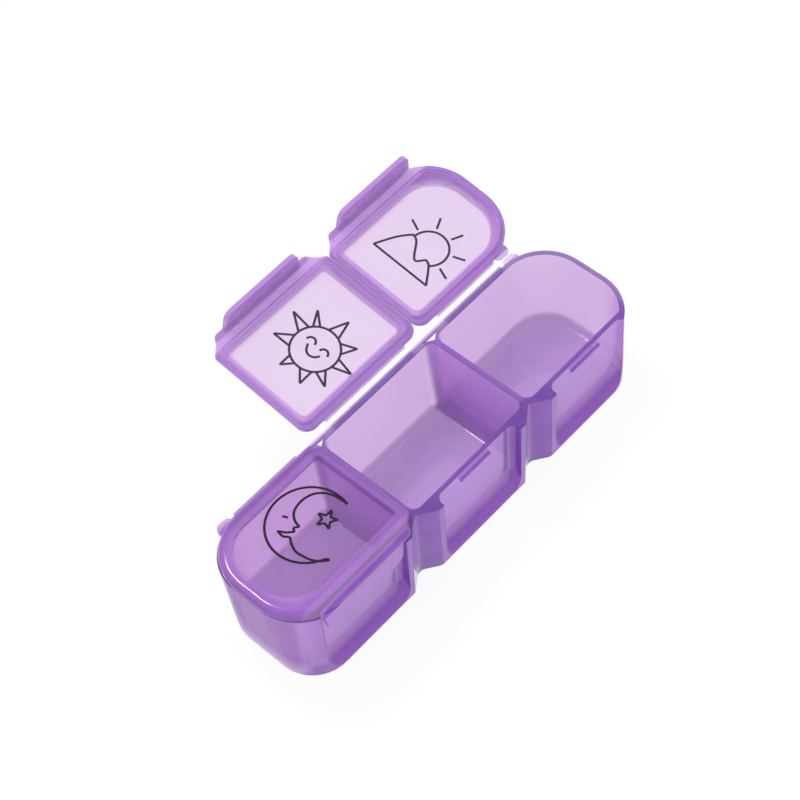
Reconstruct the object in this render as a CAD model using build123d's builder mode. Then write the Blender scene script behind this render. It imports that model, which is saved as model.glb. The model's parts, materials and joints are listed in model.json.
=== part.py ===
"""A day's pill organizer: three cups in a row, moulded in one tray, each under a lid on a living hinge.

Millimetres and degrees. The origin is the centre of the tray's underside, +Z is up, the hinges run
along the back (+Y) and the snap tabs close over the front (-Y). The far and middle lids stand open
and the near lid is shut.
"""

import os
from math import atan, cos, degrees, pi, radians, sin, sqrt, tan

from build123d import *

# The tray, measured at its rim
cup_pitch = 34.0
tray_length = 103.0
tray_depth = 29.8
tray_height = 22.8
draft_angle = 2.8
wall = 1.1
divider = 1.3
floor = 1.2
back_corner = 11.0
front_corner = 11.6
foot_corner = 8.8
foot_chamfer = 0.4
rim_chamfer = 0.25
rim_flare_angle = 45.0

# Inside corners of the cups, upright and along the floor
cup_corner = 1.8
floor_round = 1.3

# The recessed front of each cup and the ears beside the dividers
recess_depth = 2.4
ear_half_width = 5.5
recess_sill = 6.0
recess_toe = 1.0
recess_bend = 4.0
recess_fillet = 1.8
notch_half_width = 3.95
notch_depth = 2.9
notch_round = 1.0
back_notch_half_width = 2.5
back_notch_depth = 1.7

# The snap rib on the recessed front
rib_length = 8.6
rib_height = 1.0
rib_reach = 0.6
rib_drop = 2.1

# The living hinges, and the thin fins that stand beyond their outer ends
rail_reach = 0.5
rail_root = 0.3
rail_height = 0.8
film_length = 1.4
film_thickness = 0.3
hinge_margin = 5.2
hinge_set_in = 0.8
fin_gap = 0.9
fin_width = 4.0
fin_round = 1.4
fin_clearance = 0.15

# The lids
open_angle = 170.0
lid_height = 2.0
lid_round = 1.4
lid_edge_chamfer = 0.2
lid_gap = 0.3
lid_corner = 2.8
lid_end_corner = 12.2
lid_cut_corner = 3.6
lid_cut_dent = 0.35
lid_cut_round = 1.2
lid_set_back = 0.3
panel = 0.9

# The plug that stands inside the mouth of a cup, and the pocket inside it
plug_clearance = 0.3
plug_depth = 0.9
plug_crest = 1.0
plug_slope = 1.2
pocket_corner = 2.2

# The snap tab at the front of a lid
tab_root_width = 22.0
tab_tip_width = 20.6
tab_thickness = 1.1
tab_drop = 5.2
tab_corner = 2.2
catch_length = 11.0
catch_height = 0.8
catch_clearance = 0.15

# Every cut runs past the faces that it opens by this much
overrun = 2.0

# Places that follow from the sizes above
half_length = tray_length / 2
half_depth = tray_depth / 2
recess_wall_y = -half_depth + recess_depth
mouth_front_y = recess_wall_y + wall
divider_x = cup_pitch / 2
rail_face_y = half_depth + rail_reach
rail_end_x = half_length - back_corner - hinge_set_in
hinge_y = rail_face_y + film_length / 2
fold_radius = film_length / pi
lid_front_y = -half_depth + lid_set_back
rim_plane = Plane.XY.offset(tray_height)
sides = {"morning": 1, "noon": 0, "night": -1}


def lean_in(below_rim):
    """How far a drafted wall has moved in at a height below the rim."""
    return below_rim * tan(radians(draft_angle))


def round_ended_outline(plane, inset, front_radius, back_radius):
    """The whole tray seen from above, shrunk by an inset, with its own corner radii."""
    with BuildSketch(plane) as outline:
        with BuildLine():
            FilletPolyline(
                (-half_length + inset, -half_depth + inset),
                (half_length - inset, -half_depth + inset),
                (half_length - inset, half_depth - inset),
                (-half_length + inset, half_depth - inset),
                radius=[front_radius, front_radius, back_radius, back_radius],
                close=True,
            )
        make_face()
    return outline.sketch


def tray_outline(height, bevel, front_radius, back_radius):
    """The tray's outside at a height, where a bevel draws it in by a little more than its draft."""
    inset = lean_in(tray_height - height) + bevel
    return round_ended_outline(Plane.XY.offset(height), inset, front_radius - bevel, back_radius - bevel)


def mouth_outline(plane, side, inset, corner_round):
    """One cup's mouth, shrunk by an inset: a stretch of the tray's own outline between straight cuts."""
    end_inset = wall + inset
    if side == 0:
        near_x = -(cup_pitch - divider) / 2 + inset
        far_x = -near_x
    else:
        near_x = side * ((cup_pitch + divider) / 2 + inset)
        far_x = side * half_length
    front = mouth_front_y + inset
    ends = round_ended_outline(plane, end_inset, front_corner - end_inset, back_corner - end_inset)
    with BuildSketch(plane) as outline:
        add(plane.to_local_coords(ends))
        with Locations(((near_x + far_x) / 2, (front + half_depth) / 2)):
            Rectangle(abs(far_x - near_x), half_depth - front, mode=Mode.INTERSECT)
        if corner_round:
            back_corners = outline.vertices().group_by(Axis.Y)[-1].sort_by(lambda corner: abs(corner.X))
            fillet(back_corners if side == 0 else back_corners[0], radius=corner_round)
            fillet(outline.vertices().group_by(Axis.Y)[0], radius=corner_round)
    return outline.sketch


def notch_outline(half_width, depth, mouth_y, way, round_radius):
    """A V that opens at mouth_y; way is +1 if it points to the back and -1 if it points to the front."""
    outer_y = mouth_y - way * overrun
    outer_half_width = half_width * (depth + overrun) / depth
    with BuildSketch(rim_plane) as outline:
        with BuildLine():
            FilletPolyline(
                (-outer_half_width, outer_y),
                (outer_half_width, outer_y),
                (0, mouth_y + way * depth),
                radius=[0, 0, round_radius],
                close=True,
            )
        make_face()
    return outline.sketch


# The recess that is cut into the front of each cup, with a sloped ledge at its foot
recess_width = cup_pitch - 2 * ear_half_width
recess_low_y = recess_wall_y + lean_in(tray_height - recess_sill)
toe_y = -half_depth + lean_in(tray_height - recess_toe)
ledge_slope = (recess_sill - recess_toe) / (recess_low_y - toe_y)
recess_outer_y = -half_depth - overrun
with BuildPart() as recess:
    with BuildSketch(Plane.YZ.offset(-recess_width / 2)):
        with BuildLine():
            FilletPolyline(
                (recess_wall_y - lean_in(overrun), tray_height + overrun),
                (recess_low_y, recess_sill),
                (recess_outer_y, recess_toe - (toe_y - recess_outer_y) * ledge_slope),
                (recess_outer_y, tray_height + overrun),
                radius=[0, recess_bend, 0, 0],
                close=True,
            )
        make_face()
    extrude(amount=recess_width)
    open_faces = [recess.faces().sort_by(Axis.Y)[0], recess.faces().sort_by(Axis.Z)[-1]]
    side_edges = recess.faces().filter_by(Axis.X).edges()
    fillet(side_edges - open_faces[0].edges() - open_faces[1].edges(), radius=recess_fillet)

# The rib that a tab snaps over
rib_z = tray_height - rib_drop
rib_root_y = recess_wall_y + lean_in(rib_drop)
rib_front_y = rib_root_y - rib_reach
with BuildPart() as rib:
    with BuildSketch(Plane.YZ.offset(-rib_length / 2)):
        with BuildLine():
            Polyline(
                (rib_root_y + wall / 2, rib_z + rib_height / 2),
                (rib_root_y, rib_z + rib_height / 2),
                (rib_front_y, rib_z + rib_height / 4),
                (rib_front_y, rib_z - rib_height / 4),
                (rib_root_y, rib_z - rib_height / 2),
                (rib_root_y + wall / 2, rib_z - rib_height / 2),
                close=True,
            )
        make_face()
    extrude(amount=rib_length)


def drafted_block(outline, plane, height, angle):
    """A block raised on an outline, with sides that lean by an angle about the outline's plane."""
    with BuildPart() as block:
        extrude(outline, amount=height)
        across = Axis(plane.origin, plane.z_dir)
        draft(block.faces().sort_by(across)[1:-1], plane, angle)
    return block.part


def cup_hollow(side):
    """The hollow of one cup, drawn in towards a floor with rounded edges and flared at its rim."""
    depth = tray_height - floor
    block = drafted_block(mouth_outline(rim_plane, side, 0, 0), rim_plane, -depth, -draft_angle)
    flare_plane = rim_plane.offset(-rim_chamfer)
    flare_outline = mouth_outline(flare_plane, side, 0, cup_corner)
    flare = drafted_block(flare_outline, flare_plane, 2 * rim_chamfer, -rim_flare_angle)
    with BuildPart() as hollow:
        add(block)
        uprights = hollow.edges().filter_by(lambda edge: edge.bounding_box().size.Z > depth / 2)
        if side:
            by_divider = uprights.sort_by(lambda edge: abs(edge.center().X))
            in_front = uprights.sort_by(Axis.Y)[:2].sort_by(lambda edge: abs(edge.center().X))
            uprights = by_divider[:2] + in_front[-1:]
        fillet(uprights, radius=cup_corner)
        fillet(hollow.faces().sort_by(Axis.Z)[0].edges(), radius=floor_round)
        extrude(hollow.faces().sort_by(Axis.Z)[-1], amount=overrun)
        add(flare)
    return hollow.part


def fin_outline(plane, side, root_y):
    """A thin fin beyond the outer end of an end cup's hinge, rooted in the edge behind it."""
    low_x = side * (rail_end_x + fin_gap)
    high_x = side * (rail_end_x + fin_gap + fin_width)
    tip_y = hinge_y - fin_clearance
    with BuildSketch(plane) as outline:
        with BuildLine():
            FilletPolyline(
                (low_x, root_y),
                (low_x, tip_y),
                (high_x, tip_y),
                (high_x, root_y),
                radius=[0, fin_round, fin_round, 0],
                close=True,
            )
        make_face()
    return outline.sketch


tray_outlines = [
    tray_outline(0, foot_chamfer, foot_corner, foot_corner),
    tray_outline(foot_chamfer, 0, foot_corner, foot_corner),
    tray_outline(tray_height - rim_chamfer, 0, front_corner, back_corner),
    tray_outline(tray_height, rim_chamfer, front_corner, back_corner),
]
front_v = notch_outline(notch_half_width, notch_depth, -half_depth, 1, notch_round)
back_v = notch_outline(back_notch_half_width, back_notch_depth, half_depth, -1, 0)
notch_height = tray_height + overrun
notches = [drafted_block(outline, rim_plane, -notch_height, draft_angle) for outline in (front_v, back_v)]
hollows = [cup_hollow(side) for side in sides.values()]

# The tray
with BuildPart() as tray:
    loft([outline.faces()[0] for outline in tray_outlines], ruled=True)
    with Locations((-divider_x, 0), (divider_x, 0)):
        add(notches, mode=Mode.SUBTRACT)
    with Locations((-cup_pitch, 0), (0, 0), (cup_pitch, 0)):
        add(recess.part, mode=Mode.SUBTRACT)
        add(rib.part)
    add(hollows, mode=Mode.SUBTRACT)
    with BuildSketch(rim_plane):
        with Locations((0, half_depth + (rail_reach - rail_root) / 2)):
            Rectangle(2 * rail_end_x, rail_reach + rail_root)
    extrude(amount=-rail_height)
    fin_plane = rim_plane.offset(-fold_radius - film_thickness / 2)
    for side in (-1, 1):
        extrude(fin_outline(fin_plane, side, half_depth - wall), amount=film_thickness)
tray.part.label = "tray"


def lid_plane(opening):
    """The rim plane, turned about the hinge with a lid, so that a lid is drawn on it as it lies shut."""
    turn = radians(opening)
    return Plane(
        origin=(0, hinge_y - hinge_y * cos(turn), tray_height + hinge_y * sin(turn)),
        x_dir=(1, 0, 0),
        z_dir=(0, sin(turn), cos(turn)),
    )


def hinge_span(side):
    """The two ends, in x, of one cup's hinge."""
    if side == 0:
        return -(divider_x - hinge_margin), divider_x - hinge_margin
    ends = side * (divider_x + hinge_margin), side * rail_end_x
    return min(ends), max(ends)


def lid_outline(plane, side):
    """The edge of one lid: cut corners beside a divider, the tray's round corners at an end."""
    if side == 0:
        near_x = -(cup_pitch - lid_gap) / 2
        far_x = -near_x
    else:
        near_x = side * (cup_pitch + lid_gap) / 2
        far_x = side * half_length
    toward = 1 if far_x > near_x else -1
    dent = lid_cut_dent / sqrt(2)

    def cut_corner(x, inward):
        return [
            (x, lid_front_y + lid_cut_corner),
            (x + inward * (lid_cut_corner / 2 + dent), lid_front_y + lid_cut_corner / 2 + dent),
            (x + inward * lid_cut_corner, lid_front_y),
        ]

    points = [(near_x, half_depth)] + cut_corner(near_x, toward)
    radii = [lid_corner] + [lid_cut_round] * 3
    if side == 0:
        points += cut_corner(far_x, -toward)[::-1] + [(far_x, half_depth)]
        radii += [lid_cut_round] * 3 + [lid_corner]
    else:
        points += [(far_x, lid_front_y), (far_x, half_depth)]
        radii += [front_corner, lid_end_corner]
    with BuildSketch(plane) as outline:
        with BuildLine():
            FilletPolyline(*points, radius=radii, close=True)
        make_face()
    return outline.sketch


def make_lid(name, opening):
    """One lid: a shallow cap with rolled edges, a plug below it, a snap tab in front, a rail behind."""
    side = sides[name]
    shut = lid_plane(opening)
    upward = Axis(shut.origin, shut.z_dir)
    centre_x = side * cup_pitch
    hinge_low_x, hinge_high_x = hinge_span(side)

    plug_outline = mouth_outline(shut, side, plug_clearance, cup_corner)
    pocket_plane = shut.offset(-plug_depth)
    pocket_outline = mouth_outline(pocket_plane, side, plug_clearance + plug_crest, pocket_corner)
    pocket_height = plug_depth + lid_height - panel
    pocket_angle = degrees(atan(plug_slope / pocket_height))
    pocket = drafted_block(pocket_outline, pocket_plane, pocket_height, pocket_angle)

    tab_plane = Plane(
        origin=shut.from_local_coords((centre_x, lid_front_y, 0)), x_dir=shut.x_dir, z_dir=-shut.y_dir
    )
    tab_back_y = lid_front_y + tab_thickness
    tab_top = lid_height - lid_round
    catch_back_y = rib_front_y - catch_clearance
    catch_top = -rib_drop - rib_height / 2 - catch_clearance

    with BuildPart() as lid:
        extrude(lid_outline(shut, side), amount=lid_height)
        fillet(lid.faces().sort_by(upward)[-1].edges(), radius=lid_round)
        chamfer(lid.faces().sort_by(upward)[0].edges(), length=lid_edge_chamfer)
        extrude(plug_outline, amount=-plug_depth)
        chamfer(lid.faces().sort_by(upward)[0].edges(), length=lid_edge_chamfer)
        add(pocket, mode=Mode.SUBTRACT)
        with BuildSketch(tab_plane):
            with BuildLine():
                FilletPolyline(
                    (-tab_root_width / 2, tab_top),
                    (-tab_tip_width / 2, -tab_drop),
                    (tab_tip_width / 2, -tab_drop),
                    (tab_root_width / 2, tab_top),
                    radius=[0, tab_corner, tab_corner, 0],
                    close=True,
                )
            make_face()
        extrude(amount=-tab_thickness)
        with BuildSketch(shut.offset(catch_top)):
            with Locations((centre_x, (tab_back_y + catch_back_y) / 2)):
                Rectangle(catch_length, catch_back_y - tab_back_y)
        extrude(amount=-catch_height)
        with BuildSketch(shut):
            with Locations(((hinge_low_x + hinge_high_x) / 2, half_depth + (rail_reach - rail_root) / 2)):
                Rectangle(hinge_high_x - hinge_low_x, rail_reach + rail_root)
        extrude(amount=rail_height)
        if side:
            fin_plane = shut.offset(fold_radius - film_thickness / 2)
            extrude(fin_outline(fin_plane, side, half_depth - 2 * wall), amount=film_thickness)
    lid.part.label = f"lid_{name}"
    return lid.part


def make_film(name, opening):
    """The film of one hinge: an arc that leaves the tray level and meets the lid's rail squarely."""
    turn = radians(opening)
    low_x, high_x = hinge_span(sides[name])
    tray_end = Vector(rail_face_y, tray_height - fold_radius)
    along_lid = Vector(-cos(turn), sin(turn))
    above_lid = Vector(sin(turn), cos(turn))
    lid_end = Vector(hinge_y, tray_height) + along_lid * (film_length / 2) + above_lid * fold_radius
    half_film = film_thickness / 2
    with BuildPart() as film:
        with BuildSketch(Plane.YZ.offset(low_x)):
            with BuildLine():
                outer = TangentArc(
                    tray_end - Vector(0, half_film), lid_end + above_lid * half_film, tangent=(1, 0)
                )
                inner = TangentArc(
                    tray_end + Vector(0, half_film), lid_end - above_lid * half_film, tangent=(1, 0)
                )
                Line(outer @ 0, inner @ 0)
                Line(outer @ 1, inner @ 1)
            make_face()
        extrude(amount=high_x - low_x)
    film.part.label = f"hinge_{name}"
    return film.part


resting = {"morning": open_angle, "noon": open_angle, "night": 0}
pieces = [tray.part]
for name, opening in resting.items():
    pieces.append(make_lid(name, opening))
    pieces.append(make_film(name, opening))

os.makedirs("parts", exist_ok=True)
for piece in pieces:
    export_step(piece, f"parts/{piece.label}.step")
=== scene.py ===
"""A day's pill organizer in clear purple plastic, with printed lids, on a white table."""

import json
from math import cos, pi, radians, sin, tan
from typing import NamedTuple

import bpy
from mathutils import Matrix, Vector


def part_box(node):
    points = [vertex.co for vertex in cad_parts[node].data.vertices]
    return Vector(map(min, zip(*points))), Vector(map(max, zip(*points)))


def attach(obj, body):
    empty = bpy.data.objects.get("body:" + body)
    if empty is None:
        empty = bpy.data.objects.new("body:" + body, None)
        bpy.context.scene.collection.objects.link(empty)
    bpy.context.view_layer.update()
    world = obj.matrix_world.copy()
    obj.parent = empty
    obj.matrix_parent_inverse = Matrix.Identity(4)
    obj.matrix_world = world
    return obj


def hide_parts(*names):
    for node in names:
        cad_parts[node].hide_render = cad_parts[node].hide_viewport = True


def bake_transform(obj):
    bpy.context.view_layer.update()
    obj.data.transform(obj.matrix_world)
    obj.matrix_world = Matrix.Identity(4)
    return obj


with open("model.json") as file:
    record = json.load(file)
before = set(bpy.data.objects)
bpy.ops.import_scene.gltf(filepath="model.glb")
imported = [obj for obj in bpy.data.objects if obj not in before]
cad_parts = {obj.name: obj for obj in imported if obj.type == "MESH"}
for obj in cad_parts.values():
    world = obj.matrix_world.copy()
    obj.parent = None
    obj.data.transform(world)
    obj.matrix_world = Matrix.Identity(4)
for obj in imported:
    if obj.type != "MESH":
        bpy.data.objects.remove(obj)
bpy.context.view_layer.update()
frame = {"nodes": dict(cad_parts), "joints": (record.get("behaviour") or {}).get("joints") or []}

bl_info = {
    "name": "Pill organizer",
    "version": (1, 0, 0),
    "blender": (4, 5, 0),
    "location": "View3D > Sidebar > Pill organizer",
    "description": "Dresses the pill organizer: clear plastic, hinge films, printed signs and a table",
    "category": "Object",
}

MM = 0.001
LIDS = ("morning", "noon", "night")
JOINTS = {joint["child"]: joint for joint in frame["joints"]}


def hinge_point(lid):
    return Vector(JOINTS[f"lid_{lid}"]["pos_m"])


def opening(lid):
    """How far a lid stands open at rest: its joint's lower limit is the shut lid."""
    return radians(-JOINTS[f"lid_{lid}"]["range_deg"][0])


# Sizes of the tray, from the frame, and the draft of its walls

tray_low, tray_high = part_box("tray")
TRAY_TOP = tray_high.z
FRONT_Y = tray_low.y
BACK_Y = -FRONT_Y
DIVIDER_X = hinge_point("morning").x / 2
DRAFT_ANGLE = radians(2.8)


# Sizes and colours that a user would change

class PlasticSettings(bpy.types.PropertyGroup):
    tint: bpy.props.FloatVectorProperty(
        name="Tint", description="Colour that each surface adds to light going through",
        subtype="COLOR", size=3, min=0, max=1, default=(0.895, 0.812, 0.926),
    )
    cloud: bpy.props.FloatVectorProperty(
        name="Cloud", description="Tint where the plastic is a little cloudier",
        subtype="COLOR", size=3, min=0, max=1, default=(0.875, 0.785, 0.915),
    )
    thin_tint: bpy.props.FloatVectorProperty(
        name="Thin tint", description="Tint of the thin rails and fins along the hinges",
        subtype="COLOR", size=3, min=0, max=1, default=(0.88, 0.79, 0.93),
    )
    pale_milk: bpy.props.FloatVectorProperty(
        name="Pale milk", description="Colour of the light that a thin wall scatters back",
        subtype="COLOR", size=3, min=0, max=1, default=(0.70, 0.39, 0.93),
    )
    deep_milk: bpy.props.FloatVectorProperty(
        name="Deep milk", description="Colour of the light that thick plastic scatters back",
        subtype="COLOR", size=3, min=0, max=1, default=(0.22, 0.035, 0.46),
    )
    rim_milk: bpy.props.FloatVectorProperty(
        name="Rim milk", description="Colour of the rim, which gathers the light of the whole wall below it",
        subtype="COLOR", size=3, min=0, max=1, default=(0.12, 0.025, 0.30),
    )
    wall_milk: bpy.props.FloatProperty(
        name="Wall milk", description="Share of scattered light on a thin wall",
        subtype="FACTOR", min=0, max=1, default=0.07,
    )
    panel_milk: bpy.props.FloatProperty(
        name="Panel milk", description="Share of scattered light on the thin panel of a lid",
        subtype="FACTOR", min=0, max=1, default=0.02,
    )
    border_milk: bpy.props.FloatProperty(
        name="Border milk", description="Scattered light that the thick border of a lid adds",
        subtype="FACTOR", min=0, max=1, default=0.42,
    )
    tab_milk: bpy.props.FloatProperty(
        name="Tab milk", description="Scattered light that a snap tab adds",
        subtype="FACTOR", min=0, max=1, default=0.25,
    )
    depth_colour: bpy.props.FloatVectorProperty(
        name="Depth colour", description="Colour that light keeps inside thick plastic",
        subtype="COLOR", size=3, min=0, max=1, default=(0.60, 0.12, 0.76),
    )
    depth_density: bpy.props.FloatProperty(
        name="Depth density", description="How fast thick plastic darkens, per metre", min=0, default=220,
    )
    clear_share: bpy.props.FloatProperty(
        name="Clear share", description="Share of the light that a clear surface lets through",
        subtype="FACTOR", min=0, max=1, default=0.985,
    )
    polish: bpy.props.FloatProperty(
        name="Polish", description="Roughness of the moulded surface",
        subtype="FACTOR", min=0, max=1, default=0.12,
    )


class FilmSettings(bpy.types.PropertyGroup):
    thickness: bpy.props.FloatProperty(
        name="Thickness", description="Thickness of a hinge film", unit="LENGTH", min=0, default=0.3 * MM,
    )
    steps: bpy.props.IntProperty(
        name="Steps", description="Divisions along the bend of a film", min=2, default=16,
    )
    tint: bpy.props.FloatVectorProperty(
        name="Tint", description="Colour of the thin film", subtype="COLOR", size=3, min=0, max=1,
        default=(0.90, 0.82, 0.95),
    )
    streak_tint: bpy.props.FloatVectorProperty(
        name="Streak tint", description="Colour of the film where it is streaked", subtype="COLOR", size=3,
        min=0, max=1, default=(0.80, 0.70, 0.90),
    )


class PrintSettings(bpy.types.PropertyGroup):
    line: bpy.props.FloatProperty(
        name="Line", description="Width of a printed line", unit="LENGTH", min=0, default=0.53 * MM,
    )
    build_up: bpy.props.FloatProperty(
        name="Build-up", description="Height of the ink above the lid", unit="LENGTH", min=0,
        default=0.03 * MM,
    )
    ink: bpy.props.FloatVectorProperty(
        name="Ink", description="Colour of the ink", subtype="COLOR", size=3, min=0, max=1,
        default=(0.012, 0.005, 0.015),
    )


class StageSettings(bpy.types.PropertyGroup):
    aim: bpy.props.FloatVectorProperty(
        name="Aim", description="Point that the camera looks at", subtype="TRANSLATION", size=3,
        default=(6.290 * MM, 14.349 * MM, 12.0 * MM),
    )
    azimuth: bpy.props.FloatProperty(
        name="Azimuth", description="Camera's turn about the upright", subtype="ANGLE",
        default=radians(-40.638),
    )
    elevation: bpy.props.FloatProperty(
        name="Elevation", description="Camera's height above the horizon", subtype="ANGLE",
        default=radians(55.019),
    )
    roll: bpy.props.FloatProperty(
        name="Roll", description="Camera's turn about its own line of sight", subtype="ANGLE",
        default=radians(-8.454),
    )
    distance: bpy.props.FloatProperty(
        name="Distance", description="Camera's distance from its aim", unit="LENGTH", default=454.679 * MM,
    )
    lens: bpy.props.FloatProperty(
        name="Lens", description="Focal length in millimetres, on a sensor of 36 mm", default=98.48,
    )
    floor_size: bpy.props.FloatProperty(
        name="Floor size", description="Side of the square table", unit="LENGTH", min=0, default=3,
    )
    floor_gap: bpy.props.FloatProperty(
        name="Floor gap", description="How far the table lies below the tray's underside",
        unit="LENGTH", min=0, default=0.02 * MM,
    )
    floor_colour: bpy.props.FloatVectorProperty(
        name="Floor colour", description="Colour of the table", subtype="COLOR", size=3, min=0, max=1,
        default=(0.93, 0.93, 0.94),
    )
    shadow_share: bpy.props.FloatProperty(
        name="Shadow share", description="How much of the object's shadow the white table shows",
        subtype="FACTOR", min=0, max=1, default=0.1,
    )
    under_share: bpy.props.FloatProperty(
        name="Under share", description="How much of the shadow shows through the clear plastic",
        subtype="FACTOR", min=0, max=1, default=0.55,
    )
    room_light: bpy.props.FloatProperty(
        name="Room light", description="Strength of the soft light from all round", min=0, default=1.0,
    )
    softbox_power: bpy.props.FloatProperty(
        name="Softbox power", description="Power of the lamp above and behind the part",
        unit="POWER", min=0, default=1.3,
    )
    softbox_place: bpy.props.FloatVectorProperty(
        name="Softbox place", description="Where the lamp hangs", subtype="TRANSLATION", size=3,
        default=(20 * MM, 290 * MM, 560 * MM),
    )
    softbox_size: bpy.props.FloatProperty(
        name="Softbox size", description="Side of the square lamp", unit="LENGTH", min=0, default=120 * MM,
    )


class PillSettings(bpy.types.PropertyGroup):
    plastic: bpy.props.PointerProperty(type=PlasticSettings)
    film: bpy.props.PointerProperty(type=FilmSettings)
    printing: bpy.props.PointerProperty(type=PrintSettings)
    stage: bpy.props.PointerProperty(type=StageSettings)


# Materials

# Colour sockets of the Mix node, which has one set for each kind of value
MIX_SHARE = 0
MIX_FIRST = 6
MIX_SECOND = 7
MIX_RESULT = 2


class Number:
    """A value in a node tree, so that sums of nodes can be written as sums."""

    def __init__(self, recipe, socket):
        self.recipe = recipe
        self.socket = socket

    def sum(self, operation, first, second):
        node = self.recipe.node("ShaderNodeMath", {"operation": operation}, [first, second])
        return Number(self.recipe, node.outputs[0])

    def __add__(self, other):
        return self.sum("ADD", self, other)

    def __radd__(self, other):
        return self.sum("ADD", other, self)

    def __sub__(self, other):
        return self.sum("SUBTRACT", self, other)

    def __rsub__(self, other):
        return self.sum("SUBTRACT", other, self)

    def __mul__(self, other):
        return self.sum("MULTIPLY", self, other)

    def __rmul__(self, other):
        return self.sum("MULTIPLY", other, self)

    def __pow__(self, other):
        return self.sum("POWER", self, other)

    def size(self):
        return self.sum("ABSOLUTE", self, 0)

    def at_least(self, other):
        return self.sum("MAXIMUM", self, other)

    def at_most(self, other):
        return self.sum("MINIMUM", self, other)


class Recipe:
    """The node tree of a material or of the world, built node by node."""

    def __init__(self, owner):
        owner.use_nodes = True
        self.tree = owner.node_tree
        self.tree.nodes.clear()

    def node(self, kind, settings=None, values=()):
        made = self.tree.nodes.new(kind)
        for name, value in (settings or {}).items():
            setattr(made, name, value)
        pairs = values.items() if isinstance(values, dict) else enumerate(values)
        for place, value in pairs:
            if isinstance(value, Number):
                self.tree.links.new(value.socket, made.inputs[place])
            elif isinstance(value, bpy.types.NodeSocket):
                self.tree.links.new(value, made.inputs[place])
            else:
                made.inputs[place].default_value = value
        return made

    def number(self, kind, output, settings=None, values=()):
        return Number(self, self.node(kind, settings, values).outputs[output])

    def split(self, place):
        sockets = self.node("ShaderNodeSeparateXYZ", {}, [place]).outputs
        return [Number(self, socket) for socket in sockets]

    def noise(self, place, scale, detail, roughness=0.5):
        values = {"Vector": place, "Scale": scale, "Detail": detail, "Roughness": roughness}
        return self.number("ShaderNodeTexNoise", "Fac", {}, values)

    def stretch(self, place, low, high):
        values = {"Value": place, "From Min": low, "From Max": high}
        return self.number("ShaderNodeMapRange", "Result", {"interpolation_type": "SMOOTHSTEP"}, values)

    def inside(self, zone, place):
        """How far a place lies inside a zone, from 0 to 1."""
        return self.stretch(place, zone.start * MM, zone.whole * MM)

    def patches(self, place, scale, detail, low, high, roughness=0.5):
        """Soft patches of noise, from 0 to 1."""
        return self.stretch(self.noise(place, scale, detail, roughness), low, high)

    def opaque(self, colour):
        return colour if isinstance(colour, bpy.types.NodeSocket) else (*colour, 1)

    def blend(self, share, first, second):
        values = {MIX_SHARE: share, MIX_FIRST: self.opaque(first), MIX_SECOND: self.opaque(second)}
        return self.node("ShaderNodeMix", {"data_type": "RGBA"}, values).outputs[MIX_RESULT]


def new_material(name):
    material = bpy.data.materials.new(name)
    return material, Recipe(material)


# How much the clouds, streaks, scuffs and grain of the plastic change it
FLOW_STRETCH = (1, 0.12, 0.5)
FLOW_TINT = 0.4
CLOUD_DULLNESS = 0.03
SCUFF_DULLNESS = 0.05
GRAIN_HEIGHT = 0.08
CLOUD_PALENESS = 0.05
CLOUD_MILK = 0.08
RIPPLE_HEIGHT = 0.2 * MM


def clear_plastic(name, settings, flow_turn, thick):
    """Glossy clear plastic that darkens with depth, milky where it is thick, with a faint moulded ripple."""
    material, recipe = new_material(name)
    place = recipe.node("ShaderNodeTexCoord").outputs["Object"]
    turned = {"Vector": place, "Rotation": (0, 0, flow_turn), "Scale": FLOW_STRETCH}
    along = recipe.node("ShaderNodeMapping", {}, turned).outputs[0]
    cloud = recipe.patches(place, scale=90, detail=3, low=0.35, high=0.7)
    flow = recipe.patches(along, scale=260, detail=2, low=0.45, high=0.75)
    scuff = recipe.patches(place, scale=700, detail=4, low=0.62, high=0.8, roughness=0.7)
    ripple = recipe.noise(place, scale=420, detail=2)
    grain = recipe.noise(place, scale=2600, detail=2)
    height = ripple + GRAIN_HEIGHT * grain
    bump = recipe.node("ShaderNodeBump", {}, {"Strength": 0.06, "Distance": RIPPLE_HEIGHT, "Height": height})
    gloss = {
        "Roughness": settings.polish + CLOUD_DULLNESS * cloud + SCUFF_DULLNESS * scuff,
        "Normal": bump.outputs[0], "Coat Weight": 0.52, "Coat Roughness": 0.04,
    }
    milk, depth, rim, rail = thick(recipe, place, settings)
    tinted = recipe.blend(cloud * (1 - FLOW_TINT) + flow * FLOW_TINT, settings.tint, settings.cloud)
    clear = recipe.node("ShaderNodeBsdfPrincipled", {}, {
        "Base Color": recipe.blend(rail, tinted, settings.thin_tint),
        "IOR": 1.01, "Transmission Weight": settings.clear_share, **gloss,
    })
    body = recipe.blend(depth - CLOUD_PALENESS * cloud, settings.pale_milk, settings.deep_milk)
    milky = recipe.node("ShaderNodeBsdfPrincipled", {}, {
        "Base Color": recipe.blend(rim, body, settings.rim_milk), "IOR": 1.45, **gloss,
    })
    share = milk * (1 - CLOUD_MILK + CLOUD_MILK * cloud)
    mixed = recipe.node("ShaderNodeMixShader", {}, [share, clear.outputs[0], milky.outputs[0]])
    absorbed = recipe.node("ShaderNodeVolumeAbsorption", {}, {
        "Color": (*settings.depth_colour, 1), "Density": settings.depth_density,
    })
    recipe.node("ShaderNodeOutputMaterial", {}, {"Surface": mixed.outputs[0], "Volume": absorbed.outputs[0]})
    return material


class Zone(NamedTuple):
    """Part of a moulding: where it fades in and is whole, in millimetres, and the milk and depth it adds."""

    start: float
    whole: float
    milk: float = 0
    depth: float = 0


# Zones of the tray, measured down from its rim
RIM = Zone(0.45, 0.2, milk=0.7)

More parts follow.
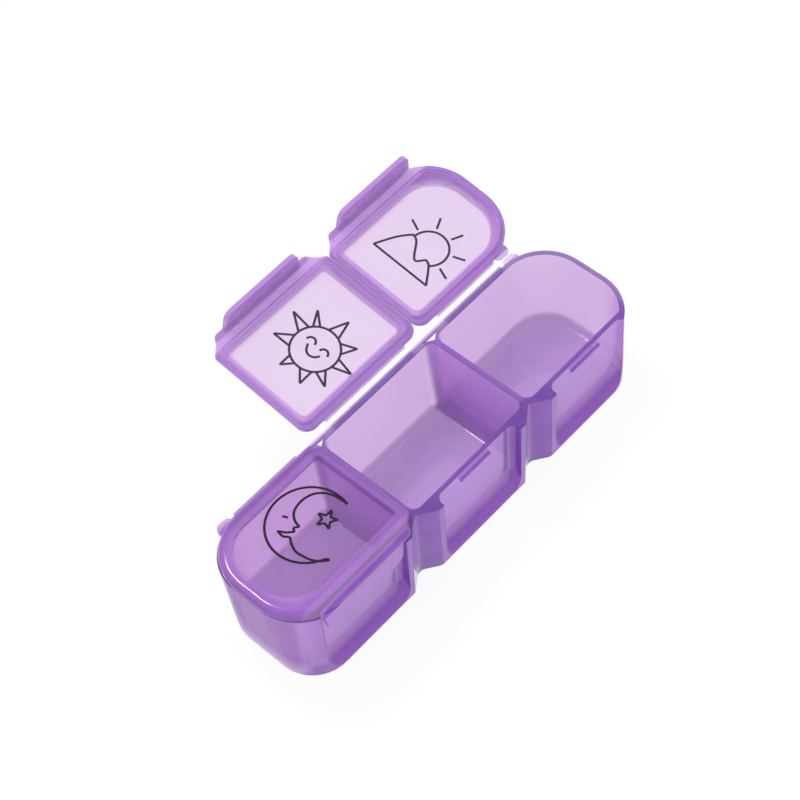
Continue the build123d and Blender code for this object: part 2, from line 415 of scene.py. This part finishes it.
# Measured up from its underside
LOW = Zone(14, 1)
LEDGE = Zone(7.0, 2.8, milk=0.45, depth=1)
# Floor: partly thicker plastic, partly painted shade of the shadowed table seen under it
FLOOR_AND_SHADE = Zone(2.4, 1.3, milk=0.3, depth=0.4)
# Foot: partly thicker plastic seen edge-on, partly painted shade of the shadow under the tray
FOOT_AND_SHADE = Zone(1.6, 0.5, milk=0.15, depth=0.2)

# Measured back from its front
FRONT = Zone(5.3, 3.6, milk=0.3, depth=0.15)
RECESS = Zone(2.7, 3.1, depth=0.5)
RIB_FACE = Zone(2.5, 2.3)

# Measured to both sides of a divider
EAR = Zone(7.8, 5.8, milk=0.6, depth=0.95)
DIVIDER = Zone(2.6, 1.0, milk=0.75, depth=0.35)

# Measured from the middle of a rib, up or down and to both sides
RIB = Zone(0.55, 0.4, milk=0.6, depth=1)
RIB_END = Zone(4.5, 4.3)
RIB_DROP = 2.1 * MM

# Measured past the back, where the thin rails lose a share of the milk
TRAY_RAIL = Zone(0, 0.1, milk=-0.8)
LID_RAIL = Zone(0, 0.1, milk=-0.6)

MOST_MILK = 0.88
DIVIDER_TOP_PALENESS = 0.15


def thick_tray(recipe, place, settings):
    """How milky and how deep the tray looks: its rim, ears, dividers, front ledge and floor; the floor and
    foot also carry painted shade.
    """
    x, y, z = recipe.split(place)
    from_divider = (x.size() - DIVIDER_X).size()
    from_cup_middle = (from_divider - DIVIDER_X).size()
    from_front = y - FRONT_Y
    from_leaning_front = from_front - (TRAY_TOP - z) * tan(DRAFT_ANGLE)
    from_rib = (TRAY_TOP - RIB_DROP - z).size()
    rim = recipe.inside(RIM, TRAY_TOP - z)
    front = recipe.inside(FRONT, from_leaning_front)
    recess = recipe.inside(RECESS, from_leaning_front) * front
    ear = recipe.inside(EAR, from_divider) * front
    divider = recipe.inside(DIVIDER, from_divider)
    ledge = recipe.inside(LEDGE, z) * (front - recess)
    # The floor and foot zones add painted shade as well as the depth of thicker plastic
    floor_and_shade = recipe.inside(FLOOR_AND_SHADE, z)
    foot_and_shade = recipe.inside(FOOT_AND_SHADE, z)
    low = recipe.inside(LOW, z)
    rib = recipe.inside(RIB, from_rib) * recipe.inside(RIB_FACE, from_front)
    rib = rib * recipe.inside(RIB_END, from_cup_middle)
    rail = recipe.inside(TRAY_RAIL, y - BACK_Y)
    milk = settings.wall_milk + RIM.milk * rim + EAR.milk * ear + DIVIDER.milk * divider + FRONT.milk * front
    milk = milk + LEDGE.milk * ledge + FLOOR_AND_SHADE.milk * floor_and_shade + FOOT_AND_SHADE.milk * foot_and_shade + RIB.milk * rib
    milk = milk.at_most(MOST_MILK) * (1 + TRAY_RAIL.milk * rail)
    depth = EAR.depth * ear + FRONT.depth * front + LEDGE.depth * ledge + FLOOR_AND_SHADE.depth * floor_and_shade
    depth = depth + FOOT_AND_SHADE.depth * foot_and_shade + RIB.depth * rib
    depth = depth + (DIVIDER.depth * divider + RECESS.depth * recess) * low
    return milk, depth.at_most(1), rim * (1 - DIVIDER_TOP_PALENESS * divider), rail


# Panel of a shut lid: the end lids have wide corners on their outer side
PANEL_HALF_WIDTH = 15.05 * MM
PANEL_HALF_DEPTH = 11.3 * MM
PANEL_MIDDLE_Y = 0.8 * MM
PANEL_CORNER = 1.5 * MM
PANEL_END_CORNER = 9 * MM
OUTER_SIDES = {"morning": 1, "noon": 0, "night": -1}

# Zones of a shut lid, measured from its middle to its outer side
LID_END = Zone(1, 4)

# Measured outward from the outline of its panel
BORDER = Zone(-0.75, -0.35, depth=0.68)
LID_EDGE = Zone(1.0, 1.5, milk=0.2, depth=0.15)

# Measured back from the tray's front, where a strip loses shares of the border's milk and depth
STRIP = Zone(3.9, 3.3, milk=-0.15, depth=-0.6)
TAB_FACE = Zone(1.9, 1.1, depth=0.25)
BROW_FACE = Zone(1.4, 0.9, milk=0.45, depth=0.7)

# Measured up from the tray's rim
TAB_HEIGHT = Zone(0.6, -0.8)
BROW_HEIGHT = Zone(0.1, 0.5)


def thick_lid(lid):
    """How milky and how deep one lid looks: its thin panel, the border round it and the snap tab."""
    hinge = hinge_point(lid)

    def thick(recipe, place, settings):
        shut = recipe.node("ShaderNodeVectorRotate", {"rotation_type": "X_AXIS"}, {
            "Vector": place, "Center": hinge, "Angle": opening(lid),
        }).outputs[0]
        x, y, z = recipe.split(shut)
        along = x - hinge.x
        from_front = y - FRONT_Y
        above_rim = z - TRAY_TOP
        end = recipe.inside(LID_END, along * OUTER_SIDES[lid])
        corner = PANEL_CORNER + (PANEL_END_CORNER - PANEL_CORNER) * end
        past_x = (along.size() - PANEL_HALF_WIDTH + corner).at_least(0)
        past_y = ((y - PANEL_MIDDLE_Y).size() - PANEL_HALF_DEPTH + corner).at_least(0)
        past_panel = (past_x ** 2 + past_y ** 2) ** 0.5 - corner
        border = recipe.inside(BORDER, past_panel)
        strip = recipe.inside(STRIP, from_front)
        edge = recipe.inside(LID_EDGE, past_panel) * (1 - strip)
        tab = recipe.inside(TAB_FACE, from_front) * recipe.inside(TAB_HEIGHT, above_rim)
        brow = recipe.inside(BROW_FACE, from_front) * recipe.inside(BROW_HEIGHT, above_rim)
        rail = recipe.inside(LID_RAIL, y - BACK_Y)
        milk = settings.panel_milk + settings.border_milk * border * (1 + STRIP.milk * strip)
        milk = milk + settings.tab_milk * tab + BROW_FACE.milk * brow + LID_EDGE.milk * edge
        depth = BORDER.depth * border * (1 + STRIP.depth * strip)
        depth = depth + TAB_FACE.depth * tab + BROW_FACE.depth * brow + LID_EDGE.depth * edge
        return milk * (1 + LID_RAIL.milk * rail), depth.at_most(1), 0, rail

    return thick


# Roughness of the films and of the ink, and how much streaks and thin places change them
FILM_POLISH = 0.16
STREAK_DULLNESS = 0.1
STREAK_HEIGHT = 0.05 * MM
THIN_INK_PALENESS = 2.2
INK_POLISH = 0.45
THIN_INK_DULLNESS = 0.2


def film_plastic(name, settings):
    """Thin film, half clear and half milky, a little streaked."""
    material, recipe = new_material(name)
    place = recipe.node("ShaderNodeTexCoord").outputs["Object"]
    streak = recipe.patches(place, scale=900, detail=3, low=0.4, high=0.7)
    colour = recipe.blend(streak, settings.tint, settings.streak_tint)
    bump = recipe.node("ShaderNodeBump", {}, {"Strength": 0.1, "Distance": STREAK_HEIGHT, "Height": streak})
    shader = recipe.node("ShaderNodeBsdfPrincipled", {}, {
        "Base Color": colour, "Roughness": FILM_POLISH + STREAK_DULLNESS * streak, "Normal": bump.outputs[0],
        "IOR": 1.01, "Transmission Weight": 0.5, "Coat Weight": 0.2, "Coat Roughness": 0.05,
    })
    recipe.node("ShaderNodeOutputMaterial", {}, {"Surface": shader.outputs[0]})
    return material


def printing_ink(name, settings):
    """Satin ink, a little thinner in places."""
    material, recipe = new_material(name)
    place = recipe.node("ShaderNodeTexCoord").outputs["Object"]
    thin = recipe.patches(place, scale=1500, detail=3, low=0.55, high=0.8)
    colour = recipe.blend(thin, settings.ink, [THIN_INK_PALENESS * share for share in settings.ink])
    shader = recipe.node("ShaderNodeBsdfPrincipled", {}, {
        "Base Color": colour, "Roughness": INK_POLISH + THIN_INK_DULLNESS * thin,
        "IOR": 1.5, "Specular IOR Level": 0.12,
    })
    recipe.node("ShaderNodeOutputMaterial", {}, {"Surface": shader.outputs[0]})
    return material


# Work on pieces

def settings():
    return bpy.context.scene.pill_organizer


def clear_selection():
    if bpy.context.object and bpy.context.object.mode != "OBJECT":
        bpy.ops.object.mode_set(mode="OBJECT")
    bpy.ops.object.select_all(action="DESELECT")


def finish_piece(piece, name, material):
    piece.name = name
    piece.data.name = name
    piece.data.materials.clear()
    piece.data.materials.append(material)
    bpy.ops.object.transform_apply(location=True, rotation=True, scale=True)


class PILL_OT_plastic(bpy.types.Operator):
    """Gives the moulded tray and lids their clear plastic"""

    bl_idname = "pill.plastic"
    bl_label = "Tray and lids"

    def execute(self, context):
        plastic = settings().plastic
        materials = {"tray": clear_plastic("tray_plastic_clear", plastic, flow_turn=0, thick=thick_tray)}
        for lid in LIDS:
            materials[f"lid_{lid}"] = clear_plastic(
                f"lid_{lid}_clear", plastic, flow_turn=pi / 2, thick=thick_lid(lid)
            )
        for name, material in materials.items():
            node = frame["nodes"][name]
            node.data.materials.clear()
            node.data.materials.append(material)
        return {"FINISHED"}


# Points nearer than this are one point, and edges flatter than this angle look round
WELD = 0.001 * MM
ROUND_ANGLE = radians(40)


class PILL_OT_films(bpy.types.Operator):
    """Models the three hinge films and bends each between the tray and its lid"""

    bl_idname = "pill.films"
    bl_label = "Hinge films"

    def execute(self, context):
        film = settings().film
        material = film_plastic("film_plastic_clear", film)
        for lid in LIDS:
            low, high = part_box(f"hinge_{lid}")
            hinge = hinge_point(lid)
            turn = pi - opening(lid)
            start_y = low.y
            reach = 2 * (hinge.y - start_y)
            # A folded film is half a circle, and the film of an open lid a wide arc that ends at the lid
            fold = reach / pi
            radius = fold
            if turn < pi / 2:
                radius = (reach / 2 * (1 + cos(turn)) + fold * sin(turn)) / sin(turn)
            start_z = hinge.z - fold
            clear_selection()
            bpy.ops.mesh.primitive_plane_add(
                size=1, location=((low.x + high.x) / 2, start_y, start_z), rotation=(pi / 2, 0, 0)
            )
            piece = context.object
            bpy.ops.object.transform_apply(location=False, rotation=True, scale=False)
            bpy.ops.object.mode_set(mode="EDIT")
            bpy.ops.mesh.select_all(action="SELECT")
            bpy.ops.transform.resize(value=(high.x - low.x, 1, film.thickness))
            bpy.ops.mesh.spin(
                steps=film.steps, angle=turn, center=(0, start_y, start_z + radius), axis=(1, 0, 0)
            )
            bpy.ops.mesh.select_all(action="SELECT")
            bpy.ops.mesh.remove_doubles(threshold=WELD)
            bpy.ops.mesh.normals_make_consistent(inside=False)
            bpy.ops.object.mode_set(mode="OBJECT")
            bpy.ops.object.shade_smooth_by_angle(angle=ROUND_ANGLE)
            finish_piece(piece, f"film_{lid}", material)
            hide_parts(f"hinge_{lid}")
            if turn < pi / 2:
                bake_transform(piece)
            else:
                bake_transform(piece)
        return {"FINISHED"}


# The signs are drawn in millimetres, as they look to a reader at the near end: to the right and up

def arc(centre, radius, start, end, steps):
    """Points along an arc, from one angle in degrees to another."""
    angles = [radians(start + (end - start) * step / steps) for step in range(steps + 1)]
    return [(centre[0] + radius * cos(angle), centre[1] + radius * sin(angle)) for angle in angles]


def smooth(points, steps=8):
    """Points along a smooth line through the given ones, a Catmull-Rom spline."""
    ends = [points[0], *points, points[-1]]
    line = []
    for before, start, end, after in zip(ends, ends[1:], ends[2:], ends[3:]):
        for step in range(steps):
            t = step / steps
            line.append(tuple(
                b + t * (c - a + t * (2 * a - 5 * b + 4 * c - d + t * (3 * b - a - 3 * c + d))) / 2
                for a, b, c, d in zip(before, start, end, after)
            ))
    return line + [points[-1]]


def rounded(points, closed, radius=0.3, steps=4):
    """The same line with its sharp corners eased, so that the pen keeps its width round them."""
    points = [Vector(point) for point in points]
    line = []
    for place, corner in enumerate(points):
        if not closed and place in (0, len(points) - 1):
            line.append(corner)
            continue
        before, after = points[place - 1], points[(place + 1) % len(points)]
        into = corner + (before - corner).normalized() * min(radius, (before - corner).length / 2)
        out = corner + (after - corner).normalized() * min(radius, (after - corner).length / 2)
        for step in range(steps + 1):
            t = step / steps
            line.append(into * (1 - t) ** 2 + corner * 2 * t * (1 - t) + out * t ** 2)
    return line


def polar(centre, radius, angle):
    """A point at some distance from a centre, with its angle in degrees."""
    return centre[0] + radius * cos(radians(angle)), centre[1] + radius * sin(radians(angle))


def noon_lines():
    """A sun with a smiling face: rays as open points round a circle."""
    middle, radius = (-1.8, -0.55), 5.35
    lines = [(arc(middle, radius, 0, 360, steps=72)[:-1], True)]
    # Each ray's angle, the reach of its tip and half the angle of its foot
    rays = (
        (94, 9.5, 16), (50, 9.3, 8), (20, 10.0, 13), (-20, 9.3, 15), (-70, 8.1, 11.5),
        (-112, 8.6, 14), (-146, 9.0, 11), (175, 9.4, 12.7), (136, 8.7, 13.5),
    )
    for angle, reach, half_base in rays:
        feet = polar(middle, radius, angle - half_base), polar(middle, radius, angle + half_base)
        lines.append((rounded([feet[0], polar(middle, reach, angle), feet[1]], closed=False), False))
    left_eye = arc((-3.75, -0.2), 1.05, 0, 180, steps=16)
    right_eye = arc((0.1, 0.1), 1.1, 0, 180, steps=16)
    smile = smooth([(-3.7, -1.1), (-2.9, -2.1), (-1.8, -2.45), (-0.7, -2.0), (0.2, -0.6)])
    return lines + [(left_eye, False), (right_eye, False), (smile, False)]


def morning_lines():
    """A sun that rises behind two mountains."""
    mountain = smooth([
        (-8.1, -7.4), (-5.4, -3.6), (-4.2, -2.85), (-3.7, -3.0), (-2.1, -4.4),
        (0.6, -0.8), (1.9, -0.05), (2.6, -0.3), (4.6, -3.0), (6.8, -7.4),
    ])
    rays = (
        ((-5.5, 7.3), (-4.4, 4.7)), ((0.8, 7.2), (-0.4, 4.6)), ((-10.0, 2.9), (-7.4, 1.8)),
        ((5.0, 2.75), (2.3, 1.6)), ((-10.1, -3.3), (-7.4, -2.3)),
    )
    sun = arc((-2.5, -0.2), 4.3, 0, 228, steps=48)
    lines = [(rounded(mountain, closed=True, radius=0.2), True), (sun, False)]
    return lines + [(list(ray), False) for ray in rays]


def night_lines():
    """A crescent moon with a sleeping face, and a star."""
    outer = arc((-1.6, 1.5), 8.6, 72, 337, steps=72) + [(7.1, -1.6)]
    brow = smooth([
        (1.1, 9.9), (-2.4, 9.5), (-4.6, 8.4), (-5.9, 6.8), (-6.4, 4.6), (-6.0, 2.2), (-4.8, 0.8),
        (-3.6, 0.25), (-2.6, 0.1),
    ])
    mouth = [(-2.6, 0.1), (-3.4, -0.9), (-2.55, -1.4), (-3.8, -2.6), (-5.3, -3.4), (-3.6, -3.6), (-2.4, -2.8)]
    chin = smooth([
        (-2.4, -2.8), (-1.2, -3.7), (0.6, -4.4), (2.4, -4.3), (4.2, -3.9), (5.8, -3.0), (7.1, -1.6),
    ])
    eye = [(-6.9, -0.35), (-5.8, 0.15)]
    tips = 5
    star_middle, tip_reach, dent_reach = (0.35, 4.65), 2.2, 0.9
    star = []
    for tip in range(tips):
        angle = 180 + 360 / tips * tip
        star.append(polar(star_middle, tip_reach, angle))
        star.append(polar(star_middle, dent_reach, angle + 180 / tips))
    return [
        (outer, False), (brow, False), (rounded(mouth, closed=False), False), (chin, False), (eye, False),
        (rounded(star, closed=True, radius=0.25), True),
    ]


SIGNS = {"morning": morning_lines, "noon": noon_lines, "night": night_lines}


class PILL_OT_prints(bpy.types.Operator):
    """Prints a sign on the outer face of each lid"""

    bl_idname = "pill.prints"
    bl_label = "Printed signs"

    def execute(self, context):
        printing = settings().printing
        material = printing_ink("sign_ink", printing)
        half_line = printing.line / 2
        face_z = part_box("lid_night")[1].z
        for lid in LIDS:
            hinge = hinge_point(lid)
            clear_selection()
            bpy.ops.curve.primitive_nurbs_path_add(radius=half_line)
            piece = context.object
            curve = piece.data
            curve.splines.clear()
            curve.bevel_depth = half_line
            curve.bevel_resolution = 2
            curve.use_fill_caps = True
            for points, closed in SIGNS[lid]():
                spline = curve.splines.new("POLY")
                spline.points.add(len(points) - 1)
                for knot, (right, up) in zip(spline.points, points):
                    knot.co = (up * MM, -right * MM, 0, 1)
                spline.use_cyclic_u = closed
            bpy.ops.object.convert(target="MESH")
            piece = context.object
            piece.scale = (1, 1, printing.build_up / half_line)
            piece.location = (hinge.x, 0, face_z)
            bpy.ops.object.transform_apply(location=True, rotation=True, scale=True)
            swing = Matrix.Rotation(opening(lid), 4, Vector((-1, 0, 0)))
            piece.matrix_world = Matrix.Translation(hinge) @ swing @ Matrix.Translation(-hinge)
            finish_piece(piece, f"print_{lid}", material)
            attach(piece, f"lid_{lid}")
        return {"FINISHED"}


# Width of the camera's sensor in millimetres
SENSOR_WIDTH = 36


def ray_kinds(recipe, *kinds):
    """One number for each kind of ray: 1 for a ray of that kind, 0 for others."""
    seen = recipe.node("ShaderNodeLightPath")
    return [Number(recipe, seen.outputs[f"Is {kind} Ray"]) for kind in kinds]


def set_table(stage):
    """A white table that shows only part of the shadow on it."""
    clear_selection()
    bpy.ops.mesh.primitive_plane_add(size=stage.floor_size, location=(0, 0, -stage.floor_gap))
    floor = bpy.context.object
    floor.name = "table"
    material, recipe = new_material("table_white")
    direct, mirrored, through = ray_kinds(recipe, "Camera", "Glossy", "Transmission")
    share = (direct + mirrored) * (1 - stage.shadow_share) + through * (1 - stage.under_share)
    matt = recipe.node("ShaderNodeBsdfDiffuse", {}, {"Color": (*stage.floor_colour, 1)})
    white = recipe.node("ShaderNodeEmission", {}, {"Color": (1, 1, 1, 1), "Strength": 1})
    mix = recipe.node("ShaderNodeMixShader", {}, [share, matt.outputs[0], white.outputs[0]])
    recipe.node("ShaderNodeOutputMaterial", {}, {"Surface": mix.outputs[0]})
    floor.data.materials.append(material)


def set_room(stage):
    """Soft white light from all round."""
    world = bpy.data.worlds.new("white_room")
    bpy.context.scene.world = world
    recipe = Recipe(world)
    direct, through = ray_kinds(recipe, "Camera", "Transmission")
    light = recipe.node("ShaderNodeBackground", {}, {"Color": (1, 1, 1, 1), "Strength": stage.room_light})
    white = recipe.node("ShaderNodeBackground", {}, {"Color": (1, 1, 1, 1), "Strength": 1})
    mix = recipe.node("ShaderNodeMixShader", {}, [direct + through, light.outputs[0], white.outputs[0]])
    recipe.node("ShaderNodeOutputWorld", {}, {"Surface": mix.outputs[0]})


def set_softbox(stage):
    """A square lamp that faces the point the camera looks at."""
    bpy.ops.object.light_add(type="AREA", location=stage.softbox_place)
    lamp = bpy.context.object
    lamp.name = "softbox"
    lamp.data.size = stage.softbox_size
    lamp.data.energy = stage.softbox_power
    lamp.rotation_euler = (Vector(stage.aim) - lamp.location).to_track_quat("-Z", "Y").to_euler()


def set_camera(stage):
    """A camera where the photograph was taken."""
    turn, rise, roll = stage.azimuth, stage.elevation, stage.roll
    back = Vector((sin(turn) * cos(rise), -cos(turn) * cos(rise), sin(rise)))
    level = Vector((cos(turn), sin(turn), 0))
    upright = back.cross(level)
    right = level * cos(roll) + upright * sin(roll)
    up = upright * cos(roll) - level * sin(roll)
    bpy.ops.object.camera_add()
    camera = bpy.context.object
    camera.name = "photograph"
    turned = Matrix((right, up, back)).transposed().to_4x4()
    camera.matrix_world = Matrix.Translation(Vector(stage.aim) + back * stage.distance) @ turned
    camera.data.sensor_width = SENSOR_WIDTH
    camera.data.lens = stage.lens
    camera.data.clip_start = 0.01
    camera.data.clip_end = 20
    bpy.context.scene.camera = camera


class PILL_OT_stage(bpy.types.Operator):
    """Sets the white table, the soft light and the camera"""

    bl_idname = "pill.stage"
    bl_label = "Stage"

    def execute(self, context):
        stage = settings().stage
        set_table(stage)
        set_room(stage)
        set_softbox(stage)
        set_camera(stage)
        context.scene.view_settings.view_transform = "Standard"
        return {"FINISHED"}


class PILL_PT_panel(bpy.types.Panel):
    bl_label = "Pill organizer"
    bl_space_type = "VIEW_3D"
    bl_region_type = "UI"
    bl_category = "Pill organizer"

    def draw(self, context):
        for operator in OPERATORS:
            self.layout.operator(operator.bl_idname)


OPERATORS = (PILL_OT_plastic, PILL_OT_films, PILL_OT_prints, PILL_OT_stage)
SETTINGS = (PlasticSettings, FilmSettings, PrintSettings, StageSettings, PillSettings)
CLASSES = (*SETTINGS, *OPERATORS, PILL_PT_panel)


def register():
    for item in CLASSES:
        bpy.utils.register_class(item)
    bpy.types.Scene.pill_organizer = bpy.props.PointerProperty(type=PillSettings)


def unregister():
    del bpy.types.Scene.pill_organizer
    for item in reversed(CLASSES):
        bpy.utils.unregister_class(item)


def main():
    register()
    bpy.ops.pill.plastic()
    bpy.ops.pill.films()
    bpy.ops.pill.prints()
    bpy.ops.pill.stage()


if __name__ == "__main__":
    main()
